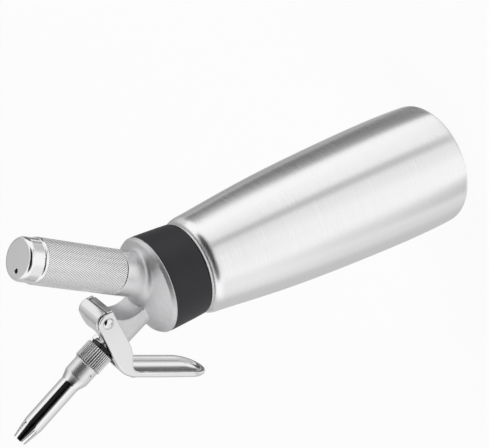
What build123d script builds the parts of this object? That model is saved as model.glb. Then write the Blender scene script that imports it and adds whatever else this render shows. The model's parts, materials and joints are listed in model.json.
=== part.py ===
"""Whipped cream dispenser: a metal bottle, a cast head screwed on its neck, a lever that presses a
hollow valve stem, a decorating nozzle, and a knurled holder for a gas charger.

Frame: millimetres, +Z up along the bottle, origin at the centre of the base. The head's two arms lie
in the XZ plane, the charger holder towards +X and the nozzle and lever towards -X.
"""
from build123d import *
import os
from math import cos, radians, sin, sqrt, tan

# ---- driving dimensions ----

# fits
thread_clearance = 0.05     # radial, threads drawn as plain fits
slide_clearance = 0.05      # radial, stem in its gland and pin in the lever
face_gap = 0.05             # between flat faces that meet across a joint
body_gap = 0.3              # between loose faces of different bodies
charger_play = 0.4          # radial, charger in its holder

# bottle
bottle_height = 210.5       # base to the rim of the neck
bottle_radius = 39.9        # widest, a little above the base
bottle_wall = 1.2
base_corner_radius = 5.0
neck_radius = 24.55
neck_length = 21.9
shoulder_ledge = 5.15       # shoulder's edge, out from the neck
shoulder_rise = 4.6
neck_wall = 1.95

# head
flange_above_rim = 4.5      # the flange's widest circle, above the bottle's rim
flange_overhang = 2.5       # beyond the skirt
flange_edge = 2.8           # height of the flange's upright edge
flange_rounding = 1.3
dome_flat_radius = 2.29     # the dome's flat top
dome_fall = 0.469           # drop for each millimetre of radius
skirt_wall = 1.65
skirt_depth = 25.9
lip_overhang = 1.55         # beyond the skirt
lip_thickness = 1.5
gasket_thickness = 2.0
gasket_width = 4.6
collar_top_wall = 2.95
collar_bottom_wall = 1.65

# charger side
charger_tilt = 30.0
charger_axis_offset = 5.3   # where its axis crosses the flange plane, from the bottle's axis
holder_wall = 3.4
holder_cap_step = 0.7       # the cap end is this much smaller in radius
holder_start = 25.9         # along the axis, from the flange plane
holder_knurl_end = 79.4
holder_end = 90.8
holder_end_wall = 3.4
vent_hole_radius = 1.4
vent_hole_side = 2.2        # off the holder's axis, towards -Y
vent_hole_rise = 6.3        # off the holder's axis, towards the nozzle
boss_flare_start = 16.1
boss_flare_radius = 2.9
spigot_step = 1.1           # thread's radius over the charger's
spigot_length = 8.4
spigot_wall = 2.0
charger_radius = 9.2
charger_length = 65.2
charger_neck_radius = 4.3
charger_neck_length = 7.7
inlet_thread_radius = 4.0
inlet_head_thickness = 1.8
inlet_seal_thickness = 1.95
needle_radius = 0.7

# nozzle side
nozzle_tilt = 30.0
nozzle_axis_offset = -7.8
arm_radius = 9.0            # half the arm's width, and the round of its underside
pivot_along = 29.35         # the hinge pin, along the nozzle's axis
pivot_above = 19.75         # and its distance from that axis
lug_gap = 0.6               # between the lug and the lever's rolled tongue
pin_radius = 2.0
pin_head_radius = 3.6
pin_head_height = 1.3
stem_radius = 3.9
stem_bore_radius = 1.9
stem_thread = 8.1           # how far the stem reaches into the nozzle's nut
throat_radius = 3.3
seat_along = 5.2
chamber_start = 8.2
chamber_radius = 5.2
spring_wire_radius = 0.45
spring_length = 13.7
spring_turns = 6
gland_radius = 6.0
gland_length = 5.6
push_collar_overlap = 0.7   # radius beyond half the slot in the lever's web
push_collar_thickness = 1.2
lock_nut_gap = 0.3          # off the web at rest
lock_nut_thickness = 3.15
nut_length = 10.9
nut_radius = 8.45
tip_thread_radius = 6.1
tip_barrel_radius = 7.75
tip_barrel_length = 10.0
tip_cone_length = 5.3
tip_tube_radius = 5.85
tip_wall = 0.9
tip_reach = 57.0            # from the nut to the mouth
tip_mouth_radius = 4.0
tip_taper_length = 13.0
tip_slot_length = 9.8
tip_slot_width = 2.2
tip_prongs = 4

# lever
lever_wall = 1.8
lever_side_gap = 0.5        # between each cheek and the arm
eye_radius = 6.0
cheek_lean = 13.7           # front edge of the cheeks, off square to the nozzle's axis
web_lean = 7.5              # front web between the cheeks
tongue_slit = 0.8           # between the rolled tongue and each eye
window_half_width = 6.7
window_top = 10.5           # below the pin
window_bottom = 30.5
handle_tilt = 25.66         # handle off the bottle's axis
handle_bend_radius = 20.0
handle_length = 59.2        # from the end of the bend to the tip
handle_round = 15.5         # length of the rounded tip
handle_depth = 3.6
handle_corner = 1.6         # rounding of the long outer edges, less than the wall

# ---- places worked out from them ----

shoulder_height = bottle_height - neck_length - shoulder_rise
shoulder_radius = neck_radius + shoulder_ledge
flange_height = bottle_height + flange_above_rim
skirt_outer_radius = neck_radius + thread_clearance + skirt_wall
lip_radius = skirt_outer_radius + lip_overhang
flange_radius = skirt_outer_radius + flange_overhang
collar_top_radius = skirt_outer_radius + collar_top_wall
collar_bottom_radius = skirt_outer_radius + collar_bottom_wall
ceiling = face_gap + gasket_thickness - flange_above_rim
flange_underside = -flange_edge / 2 - 0.5
flange_top = flange_underside + flange_edge
dome_edge_radius = flange_radius - flange_rounding
dome_top = flange_top + flange_rounding + dome_fall * (dome_edge_radius - dome_flat_radius)
spigot_radius = charger_radius + spigot_step
holder_radius = charger_radius + charger_play + holder_wall
holder_cap_radius = holder_radius - holder_cap_step
charger_axis = Vector(sin(radians(charger_tilt)), 0, cos(radians(charger_tilt)))
nozzle_axis = Vector(-sin(radians(nozzle_tilt)), 0, cos(radians(nozzle_tilt)))
nozzle_up = Vector(cos(radians(nozzle_tilt)), 0, sin(radians(nozzle_tilt)))
charger_foot = Vector(charger_axis_offset, 0, flange_height)
nozzle_foot = Vector(nozzle_axis_offset, 0, flange_height)
pivot = nozzle_foot + nozzle_axis * pivot_along + nozzle_up * pivot_above
pivot_lug_radius = eye_radius - lever_wall - lug_gap
arm_end = pivot_along + pivot_lug_radius
lever_inner_half = arm_radius + lever_side_gap
lever_half = lever_inner_half + lever_wall
charger_start = holder_end - holder_end_wall - body_gap - charger_length
inlet_face = charger_start - inlet_seal_thickness - face_gap
inlet_floor = inlet_face - inlet_head_thickness
neck_bore_radius = charger_neck_radius + 0.9
push_collar_radius = window_half_width + push_collar_overlap
collar_corner = sqrt(push_collar_radius ** 2 - window_half_width ** 2)
web_slope = tan(radians(web_lean))
web_back = pivot_along + (eye_radius - lever_wall) / cos(radians(web_lean)) + web_slope * pivot_above
web_face = web_back + lever_wall / cos(radians(web_lean))
push_collar_end = web_back - web_slope * collar_corner - face_gap
push_collar_start = push_collar_end - push_collar_thickness
lock_nut_start = web_face + web_slope * collar_corner + lock_nut_gap
nut_start = lock_nut_start + lock_nut_thickness + face_gap
stem_end = nut_start + stem_thread
tip_end = nut_start + nut_length + tip_reach
charger_plane = Plane(origin=charger_foot, x_dir=(0, 1, 0), z_dir=charger_axis)
nozzle_plane = Plane(origin=nozzle_foot, x_dir=(0, 1, 0), z_dir=nozzle_axis)


# ---- helpers ----

def turned(*edges):
    """A solid turned about Z from profile edges in the XZ plane, the last one closed back to the first."""
    wire = Wire(edges)
    start, end = wire @ 0, wire @ 1
    if (start - end).length > 1e-6:
        wire = Wire([*edges, Line(end, start)])
    return revolve(make_face(wire), Axis.Z)


def turned_points(*points):
    """A solid turned about Z from (radius, height) corners."""
    return turned(*Polyline(*[(r, 0, z) for r, z in points], close=True).edges())


def rod(radius, start, end):
    """A cylinder about Z between two heights."""
    return Pos(0, 0, start) * Cylinder(radius, end - start, align=(Align.CENTER, Align.CENTER, Align.MIN))


def ring(inner, outer, start, end):
    """A plain ring about Z between two heights."""
    return rod(outer, start, end) - rod(inner, start - 1, end + 1)


def on_charger(shape):
    """Place a shape drawn about Z on the charger's axis."""
    return charger_plane.location * shape


def on_nozzle(shape):
    """Place a shape drawn about Z on the nozzle's axis."""
    return nozzle_plane.location * shape


def across(edges, half_width):
    """A plate across Y from edges drawn in the XZ plane."""
    face = make_face(Wire(edges))
    return extrude(face, half_width, dir=(0, 1, 0)) + extrude(face, half_width, dir=(0, -1, 0))


def save(name, shape):
    """Write one sub-part."""
    export_step(shape, f"parts/{name}.step")


# ---- bottle ----

def bottle_profile(inset):
    """Side of the bottle from its base corner to its shoulder, moved inwards by inset."""
    stations = [
        (bottle_radius - 0.3, base_corner_radius + 2),
        (bottle_radius, 0.12 * shoulder_height),
        (0.965 * bottle_radius, 0.42 * shoulder_height),
        (0.896 * bottle_radius, 0.70 * shoulder_height),
        (0.812 * bottle_radius, 0.875 * shoulder_height),
        (shoulder_radius, shoulder_height),
    ]
    return Spline(*[(r - inset, 0, z) for r, z in stations])


def bottle():
    """Thin metal bottle with a flat base, a long bulging taper and a threaded neck."""
    side = bottle_profile(0)
    foot = bottle_radius - base_corner_radius
    top = shoulder_height + shoulder_rise
    outer = turned(
        Line((0, 0, 0), (foot, 0, 0)),
        Bezier((foot, 0, 0), (bottle_radius - 0.8, 0, 0.3), side @ 0),
        side,
        Bezier(side @ 1, (shoulder_radius - 0.6, 0, top), (shoulder_radius - 3.2, 0, top)),
        Line((shoulder_radius - 3.2, 0, top), (neck_radius, 0, top)),
        Line((neck_radius, 0, top), (neck_radius, 0, bottle_height)),
        Line((neck_radius, 0, bottle_height), (0, 0, bottle_height)),
        Line((0, 0, bottle_height), (0, 0, 0)),
    )
    inside = bottle_profile(bottle_wall)
    floor = bottle_wall
    inner_top = top - bottle_wall
    bore = neck_radius - neck_wall
    hollow = turned(
        Line((0, 0, floor), (foot, 0, floor)),
        Line((foot, 0, floor), inside @ 0),
        inside,
        Line(inside @ 1, (shoulder_radius - 3.6, 0, inner_top)),
        Line((shoulder_radius - 3.6, 0, inner_top), (bore, 0, inner_top)),
        Line((bore, 0, inner_top), (bore, 0, bottle_height + 1)),
        Line((bore, 0, bottle_height + 1), (0, 0, bottle_height + 1)),
        Line((0, 0, bottle_height + 1), (0, 0, floor)),
    )
    return outer - hollow


# ---- head ----

def head_base():
    """Dome, flange and threaded skirt, turned about the bottle's axis, in the flange's own heights."""
    bore = neck_radius + thread_clearance
    base = turned_points(
        (0, ceiling),
        (bore, ceiling),
        (bore, -skirt_depth),
        (lip_radius, -skirt_depth),
        (lip_radius, -skirt_depth + lip_thickness),
        (skirt_outer_radius, -skirt_depth + lip_thickness),
        (skirt_outer_radius, flange_underside),
        (flange_radius, flange_underside),
        (flange_radius, flange_top),
        (dome_edge_radius, flange_top + flange_rounding),
        (dome_flat_radius, dome_top),
        (0, dome_top),
    )
    return Pos(0, 0, flange_height) * base


def charger_boss():
    """Round boss for the charger holder, with its flare on the dome and the threaded spigot."""
    boss_end = holder_start - body_gap
    corner = Vector(holder_radius, 0, boss_flare_start)
    flare_end = Vector(holder_radius + boss_flare_radius, 0, boss_flare_start - boss_flare_radius)
    flare_centre = Vector(holder_radius + boss_flare_radius, 0, boss_flare_start)
    middle = flare_centre - Vector(1, 0, 1).normalized() * boss_flare_radius
    body = turned(
        Line((0, 0, seat_along), (flare_end.X, 0, seat_along)),
        Line((flare_end.X, 0, seat_along), flare_end),
        ThreePointArc(flare_end, middle, corner),
        Line(corner, (holder_radius, 0, boss_end)),
        Line((holder_radius, 0, boss_end), (0, 0, boss_end)),
        Line((0, 0, boss_end), (0, 0, seat_along)),
    )
    spigot = rod(spigot_radius, boss_end - 1, holder_start + spigot_length)
    return on_charger(body + spigot)


def charger_bores():
    """Room for the charger's shoulder and neck, the inlet's thread and the check valve."""
    shoulder_bore = rod(spigot_radius - spigot_wall, charger_start + 1.7, holder_end)
    neck_bore = rod(neck_bore_radius, inlet_floor, holder_end)
    thread = rod(inlet_thread_radius, -1, holder_end)
    pocket = rod(inlet_thread_radius + 1.5, -15, 3)
    return on_charger(shoulder_bore + neck_bore + thread + pocket)


def arm_outline():
    """Outline of the arm above the nozzle's axis: end face, hinge lug, ledge and scooped back."""
    inside = nozzle_foot + nozzle_axis * 2
    end_low = nozzle_foot + nozzle_axis * arm_end
    end_high = pivot + nozzle_axis * pivot_lug_radius
    lug_top = pivot + Vector(1, 0, 3).normalized() * pivot_lug_radius
    lug_back = pivot + Vector(pivot_lug_radius, 0, 0)
    back_low = lug_back - Vector(0, 0, 1.0)
    ledge_top = pivot + Vector(eye_radius, 0, -1.0)
    ledge_low = pivot + Vector(eye_radius, 0, -4.5)
    scoop_start = pivot + Vector(-0.5, 0, -6.4)
    scoop_end = scoop_start + Vector(1.0, 0, -20)
    bulge = (scoop_start + scoop_end) / 2 + Vector(-4.45, 0, 0)
    return [
        Line(inside, end_low),
        Line(end_low, end_high),
        ThreePointArc(end_high, lug_top, lug_back),
        Line(lug_back, back_low),
        Line(back_low, ledge_top),
        Line(ledge_top, ledge_low),
        Line(ledge_low, scoop_start),
        ThreePointArc(scoop_start, bulge, scoop_end),
        Line(scoop_end, inside),
    ]


def nozzle_arm():
    """Arm that holds the valve stem and the lever's pin: flat-sided above the stem, round below it."""
    below = Pos(0, 2 * arm_radius, 0) * Box(4 * arm_radius, 4 * arm_radius, 4 * arm_end)
    barrel = on_nozzle(rod(arm_radius, 2, arm_end) & below)
    return barrel + across(arm_outline(), arm_radius)


def nozzle_bores():
    """Spring chamber, gland thread, throat and the pocket under the valve seat."""
    chamber = rod(chamber_radius, chamber_start, arm_end + 1)
    gland = rod(gland_radius, gland_seat(), arm_end + 1)
    throat = rod(throat_radius, 0, chamber_start + 1)
    pocket = rod(chamber_radius + 1, -15, seat_along)
    return on_nozzle(chamber + gland + throat + pocket)


def gland_seat():
    """Where the gland nut's inner face lies along the nozzle's axis."""
    return arm_end - gland_length


def thread_room():
    """The open thread under the ceiling, so that no boss or arm reaches into it."""
    bore = neck_radius + thread_clearance
    return Pos(0, 0, flange_height) * rod(bore, -skirt_depth - 1, ceiling)


def pin_hole(radius):
    """A hole or shaft along the hinge, right through the lever."""
    shaft = Cylinder(radius, 2 * lever_half + 2 * face_gap)
    return Pos(*pivot) * Rot(90, 0, 0) * shaft


def head_casting():
    """One aluminium casting: dome, flange, skirt, charger boss and nozzle arm."""
    body = head_base() + charger_boss() + nozzle_arm()
    return body - thread_room() - charger_bores() - nozzle_bores() - pin_hole(pin_radius)


def grip_collar():
    """Rubber collar pressed over the skirt between the flange and the bottom lip."""
    top = flange_underside
    bottom = -skirt_depth + lip_thickness
    collar = turned_points(
        (skirt_outer_radius, top),
        (collar_top_radius - 0.6, top),
        (collar_top_radius, top - 0.8),
        (collar_top_radius - 0.1, top - 5),
        (collar_bottom_radius, bottom + 1.2),
        (collar_bottom_radius - 0.9, bottom),
        (skirt_outer_radius, bottom),
    )
    return Pos(0, 0, flange_height) * collar


def head_gasket():
    """Flat silicone ring between the bottle's rim and the head's ceiling."""
    outer = neck_radius - 0.15
    gasket = ring(outer - gasket_width, outer, ceiling - gasket_thickness, ceiling)
    return Pos(0, 0, flange_height) * gasket


def hinge_pin():
    """Riveted pin through the arm's lug and the lever's eyes, with a domed head at each end."""
    shaft = pin_hole(pin_radius)
    face = lever_half + face_gap
    ball = (pin_head_radius ** 2 + pin_head_height ** 2) / (2 * pin_head_height)
    cap = Pos(0, 0, pin_head_height - ball) * Sphere(ball)
    cap = cap & rod(pin_head_radius, 0, pin_head_height)
    near = Pos(pivot.X, -face, pivot.Z) * Rot(90, 0, 0) * cap
    far = Pos(pivot.X, face, pivot.Z) * Rot(-90, 0, 0) * cap
    return shaft + near + far


# ---- charger side ----

def charger_inlet():
    """Threaded inlet screw with the hollow needle that opens the charger."""
    nose = inlet_thread_radius * 0.6
    needle_base = inlet_face
    needle_tip = charger_start + 1.6
    screw = turned_points(
        (0, -2.2),
        (nose, -2.2),
        (nose, 3),
        (inlet_thread_radius, 3),
        (inlet_thread_radius, inlet_floor),
        (neck_bore_radius - 0.3, inlet_floor),
        (neck_bore_radius - 0.3, needle_base),
        (needle_radius, needle_base),
        (needle_radius, needle_tip - 1.4),
        (0, needle_tip),
    )
    return on_charger(screw)


def inlet_seal():
    """Rubber ring round the needle that seals on the charger's tip."""
    return on_charger(ring(needle_radius + 0.6, neck_bore_radius - 0.4, inlet_face,
                           inlet_face + inlet_seal_thickness))


def check_sleeve():
    """Rubber sleeve over the inlet's nose that lets gas in and not out."""
    nose = inlet_thread_radius * 0.6
    return on_charger(ring(nose, nose + 1.2, -1.9, 2.8))


def gas_charger():
    """Small steel gas cylinder with a narrow neck, a pierced tip and a rounded end."""
    end = charger_start + charger_length
    neck_end = charger_start + charger_neck_length
    shoulder_end = neck_end + 10
    side_end = end - 6.5
    body = turned(
        Line((0, 0, charger_start + 3), (needle_radius + 0.3, 0, charger_start + 3)),
        Line((needle_radius + 0.3, 0, charger_start + 3), (needle_radius + 0.3, 0, charger_start)),
        Line((needle_radius + 0.3, 0, charger_start), (charger_neck_radius - 0.5, 0, charger_start)),
        Line((charger_neck_radius - 0.5, 0, charger_start), (charger_neck_radius, 0, charger_start + 0.8)),
        Line((charger_neck_radius, 0, charger_start + 0.8), (charger_neck_radius, 0, neck_end)),
        Bezier((charger_neck_radius, 0, neck_end), (charger_neck_radius + 0.3, 0, neck_end + 3.6),
               (charger_radius, 0, neck_end + 3.4), (charger_radius, 0, shoulder_end)),
        Line((charger_radius, 0, shoulder_end), (charger_radius, 0, side_end)),
        Bezier((charger_radius, 0, side_end), (charger_radius, 0, end - 1.5), (charger_radius * 0.55, 0, end),
               (0, 0, end)),
        Line((0, 0, end), (0, 0, charger_start + 3)),
    )
    return on_charger(body)


def charger_holder():
    """Screw-on holder: knurled sleeve with a smooth stepped cap end and a vent hole."""
    thread = spigot_radius + thread_clearance
    cavity = charger_radius + charger_play
    floor = holder_end - holder_end_wall
    edge = 1.2
    sleeve = turned_points(
        (thread, holder_start),
        (holder_radius - 0.3, holder_start),
        (holder_radius, holder_start + 0.3),
        (holder_radius, holder_knurl_end - holder_cap_step),
        (holder_cap_radius, holder_knurl_end),
        (holder_cap_radius, holder_end - edge),
        (holder_cap_radius - edge, holder_end),
        (0, holder_end),
        (0, floor),
        (cavity, floor),
        (cavity, holder_start + spigot_length + body_gap),
        (thread, holder_start + spigot_length + body_gap),
    )
    vent = Pos(-vent_hole_side, vent_hole_rise, 0) * rod(vent_hole_radius, floor - 1, holder_end + 1)
    return on_charger(sleeve - vent)


# ---- valve ----

def valve_stem():
    """Hollow stem: valve head, narrow neck, spring shoulder and threaded outer end."""
    shoulder = chamber_start + spring_length + 0.1
    neck = throat_radius - 0.8
    head_top = seat_along - face_gap - 2.0
    body = turned_points(
        (0, head_top - 1.6),
        (chamber_radius - 0.3, head_top - 1.6),
        (chamber_radius - 0.3, head_top),
        (neck, head_top),
        (neck, shoulder - 4),
        (stem_radius - 0.6, shoulder - 3),
        (stem_radius - 0.6, shoulder),
        (chamber_radius - 0.1, shoulder),
        (chamber_radius - 0.1, shoulder + 2),
        (stem_radius, shoulder + 2),
        (stem_radius, stem_end - 0.4),
        (stem_radius - 0.4, stem_end),
        (0, stem_end),
    )
    bore = rod(stem_bore_radius, shoulder - 1.5, stem_end + 1)
    port = Pos(0, 0, shoulder + 3.4) * Rot(90, 0, 0) * Cylinder(1.0, 4 * stem_radius)
    return on_nozzle(body - bore - port)


def valve_seal():
    """Rubber disc on the stem's inner head, closing the throat."""
    top = seat_along - face_gap
    return on_nozzle(ring(throat_radius - 0.8, chamber_radius - 0.4, top - 2.0, top))


def valve_spring():
    """Compression spring between the throat's face and the stem's shoulder."""
    radius = chamber_radius - 0.35 - spring_wire_radius
    height = spring_length - 2 * spring_wire_radius - 0.1
    path = Helix(pitch=height / spring_turns, height=height, radius=radius)
    section = Plane(origin=path @ 0, z_dir=path % 0) * Circle(spring_wire_radius)
    coil = sweep(section, path, is_frenet=True)
    return on_nozzle(Pos(0, 0, chamber_start + spring_wire_radius + 0.05) * coil)


def gland_nut():
    """Threaded bush that guides the stem in the arm's end, with two slots for its key."""
    nut = ring(stem_radius + slide_clearance, gland_radius, gland_seat(), arm_end)
    slot = Pos(0, 0, arm_end) * Box(1.6, 3 * gland_radius, 1.4)
    return on_nozzle(nut - slot)


def stem_ring():
    """Rubber ring under the gland nut that seals the stem."""
    end = gland_seat()
    return on_nozzle(ring(stem_radius + slide_clearance, chamber_radius, end - 1.6, end))


def push_collar():
    """Collar on the stem behind the lever's web, which the web presses."""
    return on_nozzle(ring(stem_radius, push_collar_radius, push_collar_start, push_collar_end))


def lock_nut():
    """Dark steel nut on the stem in front of the lever's web, with six flats."""
    end = nut_start - face_gap
    flats = RegularPolygon(push_collar_radius, 6)
    body = extrude(Pos(0, 0, lock_nut_start) * flats, end - lock_nut_start)
    return on_nozzle(body - rod(stem_radius, lock_nut_start - 1, end + 1))


# ---- lever ----

def lever_points():
    """The corners and centres of the lever's side view, in the XZ plane."""
    down = (nozzle_up * -cos(radians(cheek_lean)) + nozzle_axis * sin(radians(cheek_lean)))
    front = (nozzle_axis * cos(radians(cheek_lean)) + nozzle_up * sin(radians(cheek_lean)))
    along = Vector(-sin(radians(handle_tilt)), 0, -cos(radians(handle_tilt)))
    outward = Vector(-cos(radians(handle_tilt)), 0, sin(radians(handle_tilt)))
    bend_start = pivot + front * eye_radius + down * 32.0
    bend_centre = bend_start - front * handle_bend_radius
    bend_end = bend_centre + outward * handle_bend_radius
    middle = bend_centre + (front + outward).normalized() * handle_bend_radius
    return dict(down=down, front=front, along=along, outward=outward, bend_start=bend_start,
                bend_centre=bend_centre, bend_end=bend_end, bend_middle=middle,
                tip=bend_end + along * handle_length)


def rim_edges(q):
    """The cheek's back edge and the handle's rim, from the tip up to the corner below the eye."""
    corner = pivot + Vector(eye_radius + 0.2, 0, -3.6)
    back_end = corner + q["down"] * 28.0
    flat_end = pivot + Vector(-36.0, 0, -12.7)
    rim_start = q["bend_end"] + q["along"] * 5.0 - q["outward"] * handle_depth
    turn = rim_start - q["along"] * 4.2 + Vector(1.4, 0, 0.4)
    knee = q["bend_end"] + q["along"] * (handle_length - handle_round) - q["outward"] * handle_depth
    rim_end = q["tip"] - q["outward"] * lever_wall
    return [
        Line(rim_end, knee),
        Line(knee, rim_start),
        Spline(rim_start, turn, flat_end, back_end, tangents=[-q["along"], -q["down"]]),
        Line(back_end, corner),
    ]


def lever_side():
    """Whole side outline of the lever: eye, front edge, bend, handle and rim."""
    q = lever_points()
    eye_back = pivot + Vector(eye_radius, 0, 0)
    eye_top = pivot + Vector(0.25, 0, 0.97).normalized() * eye_radius
    eye_front = pivot + q["front"] * eye_radius
    corner = pivot + Vector(eye_radius + 0.2, 0, -3.6)
    return [
        Line(corner, eye_back),
        ThreePointArc(eye_back, eye_top, eye_front),
        Line(eye_front, q["bend_start"]),
        ThreePointArc(q["bend_start"], q["bend_middle"], q["bend_end"]),
        Line(q["bend_end"], q["tip"]),
        Line(q["tip"], q["tip"] - q["outward"] * lever_wall),
        *rim_edges(q),
    ]


def floor_outline():
    """Floor of the trough: one wall thick along the outer side, from the middle of the bend to the tip."""
    q = lever_points()
    centre = q["bend_centre"]
    inner_radius = handle_bend_radius - lever_wall
    first = (q["bend_middle"] - centre).normalized()
    last = q["outward"]
    half = (first + last).normalized()
    return [
        ThreePointArc(q["bend_middle"], centre + half * handle_bend_radius, q["bend_end"]),
        Line(q["bend_end"], q["tip"]),
        Line(q["tip"], q["tip"] - last * lever_wall),
        Line(q["tip"] - last * lever_wall, q["bend_end"] - last * lever_wall),
        ThreePointArc(q["bend_end"] - last * lever_wall, centre + half * inner_radius,
                      centre + first * inner_radius),
        Line(centre + first * inner_radius, q["bend_middle"]),
    ]


def on_outer_side(edge):
    """True for a long edge on the outer side of the bend and handle."""
    q = lever_points()
    middle = edge @ 0.5
    point = Vector(middle.X, 0, middle.Z)
    on_bend = abs((point - q["bend_centre"]).length - handle_bend_radius) < 0.05
    off_handle = abs((point - q["bend_end"]).dot(q["outward"]))
    along_handle = (point - q["bend_end"]).dot(q["along"])
    at_side = abs(abs(middle.Y) - lever_half) < 0.01
    return at_side and (on_bend or off_handle < 0.05 and along_handle > 1)


def web_outline():
    """Front web between the cheeks: rolled tongue over the lug, leaning plate, and the bend."""
    q = lever_points()
    lean = radians(web_lean)
    down = nozzle_up * -cos(lean) + nozzle_axis * sin(lean)
    front = nozzle_axis * cos(lean) + nozzle_up * sin(lean)
    inner = eye_radius - lever_wall
    back = Vector(1, 0, 0)
    top = (back + front).normalized()
    low = pivot + front * eye_radius + down * 29.5
    low_inner = low - front * lever_wall
    join = q["bend_middle"]
    inward = (q["bend_centre"] - join).normalized() * lever_wall
    return [
        ThreePointArc(pivot + back * eye_radius, pivot + top * eye_radius, pivot + front * eye_radius),
        Line(pivot + front * eye_radius, low),
        Line(low, join),
        Line(join, join + inward),
        Line(join + inward, low_inner),
        Line(low_inner, pivot + front * inner),
        ThreePointArc(pivot + front * inner, pivot + top * inner, pivot + back * inner),
        Line(pivot + back * inner, pivot + back * eye_radius),
    ]


def tongue_slits():
    """Narrow slits that part the rolled tongue from each eye."""
    middle = lever_inner_half - tongue_slit / 2
    reach = eye_radius + 1
    cut = None
    for side in (-1, 1):
        plate = Pos(pivot.X, side * middle, pivot.Z) * Rot(90, 0, 0) * Cylinder(reach, tongue_slit)
        cut = plate if cut is None else cut + plate
    return cut


def web_window():
    """Slot in the front web for the stem."""
    height = window_bottom - window_top
    centre = pivot - nozzle_up * (window_top + window_bottom) / 2
    slot = SlotOverall(height, 2 * window_half_width)
    plane = Plane(origin=centre, x_dir=nozzle_up, z_dir=nozzle_axis)
    return extrude(plane * slot, 16, both=False)


def handle_plan():
    """Plan shape of the lever seen square to the handle: straight sides and a half-ellipse tip."""
    q = lever_points()
    straight = handle_length - handle_round
    plane = Plane(origin=q["bend_end"] + q["along"] * straight, x_dir=q["along"], z_dir=q["outward"])
    shape = Ellipse(handle_round, lever_half) + Pos(-75, 0) * Rectangle(150, 2 * lever_half + 1)
    return extrude(plane * shape, 90, both=True)


def lever():
    """Stamped lever: two cheeks with eyes, a rolled tongue, a front web and a trough handle."""
    side = across(lever_side(), lever_half)
    side = fillet(side.edges().filter_by(on_outer_side), handle_corner)
    cheeks = side - across_room()
    floor = across(floor_outline(), lever_inner_half + 0.1)
    web = across(web_outline(), lever_inner_half + 0.1)
    body = cheeks + floor + (web - tongue_slits())
    body = body - web_window() - pin_hole(pin_radius + slide_clearance)
    return body & handle_plan()


def across_room():
    """Everything between the cheeks."""
    return Pos(*pivot) * Box(400, 2 * lever_inner_half, 400)


# ---- nozzle ----

def nozzle_nut():
    """Knurled nut that holds the tip on the stem."""
    end = nut_start + nut_length
    nut = turned_points(
        (stem_radius + thread_clearance, nut_start),
        (nut_radius - 0.6, nut_start),
        (nut_radius, nut_start + 0.6),
        (nut_radius, end - 0.6),
        (nut_radius - 0.6, end),
        (tip_thread_radius, end),
        (tip_thread_radius, stem_end + 0.2),
        (stem_radius + thread_clearance, stem_end + 0.2),
    )
    return on_nozzle(nut)


def nozzle_washer():
    """Thin rubber washer clamped between the nut and the tip's threaded end."""
    return on_nozzle(ring(stem_bore_radius + 0.6, tip_thread_radius - 0.1, stem_end + 0.2, stem_end + 0.9))


def tip():
    """Steel decorating tip: barrel, cone, tube and a crown of curved prongs."""
    barrel_start = nut_start + nut_length
    barrel_end = barrel_start + tip_barrel_length
    tube_start = barrel_end + tip_cone_length
    taper_start = tip_end - tip_taper_length
    bore = tip_thread_radius - tip_wall
    tube_bore = tip_tube_radius - tip_wall
    outer = turned(
        Line((0, 0, stem_end + 0.9), (tip_thread_radius, 0, stem_end + 0.9)),
        Line((tip_thread_radius, 0, stem_end + 0.9), (tip_thread_radius, 0, barrel_start)),
        Line((tip_thread_radius, 0, barrel_start), (tip_barrel_radius, 0, barrel_start)),
        Line((tip_barrel_radius, 0, barrel_start), (tip_barrel_radius, 0, barrel_end)),
        Bezier((tip_barrel_radius, 0, barrel_end), (tip_barrel_radius, 0, barrel_end + 2.5),
               (tip_tube_radius, 0, tube_start - 1.0), (tip_tube_radius, 0, tube_start)),
        Line((tip_tube_radius, 0, tube_start), (tip_tube_radius, 0, taper_start)),
        Bezier((tip_tube_radius, 0, taper_start), (tip_tube_radius, 0, taper_start + 5),
               (tip_mouth_radius, 0, tip_end)),
        Line((tip_mouth_radius, 0, tip_end), (0, 0, tip_end)),
        Line((0, 0, tip_end), (0, 0, stem_end + 0.9)),
    )
    inner = turned(
        Line((0, 0, stem_end), (bore, 0, stem_end)),
        Line((bore, 0, stem_end), (bore, 0, barrel_end)),
        Line((bore, 0, barrel_end), (tube_bore, 0, tube_start)),
        Line((tube_bore, 0, tube_start), (tube_bore, 0, taper_start)),
        Bezier((tube_bore, 0, taper_start), (tube_bore, 0, taper_start + 5),
               (tip_mouth_radius - tip_wall, 0, tip_end)),
        Line((tip_mouth_radius - tip_wall, 0, tip_end), (tip_mouth_radius - tip_wall, 0, tip_end + 1)),
        Line((tip_mouth_radius - tip_wall, 0, tip_end + 1), (0, 0, tip_end + 1)),
        Line((0, 0, tip_end + 1), (0, 0, stem_end)),
    )
    body = outer - inner
    slot_start = tip_end - tip_slot_length
    for index in range(tip_prongs):
        turn = Rot(0, 0, 45 + index * 360 / tip_prongs)
        gap = Pos(tip_tube_radius, 0, 0) * slot_cut(slot_start)
        body = body - turn * gap
    return on_nozzle(body)


def slot_cut(start):
    """A notch with a round end, open at the tip's mouth."""
    reach = 2 * tip_tube_radius
    straight = Pos(0, 0, start + tip_slot_length / 2 + 1.1) * Box(reach, tip_slot_width, tip_slot_length + 2)
    round_end = Pos(0, 0, start + tip_slot_width / 2) * Rot(0, 90, 0) * Cylinder(tip_slot_width / 2, reach)
    return straight + round_end


# ---- build ----

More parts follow.
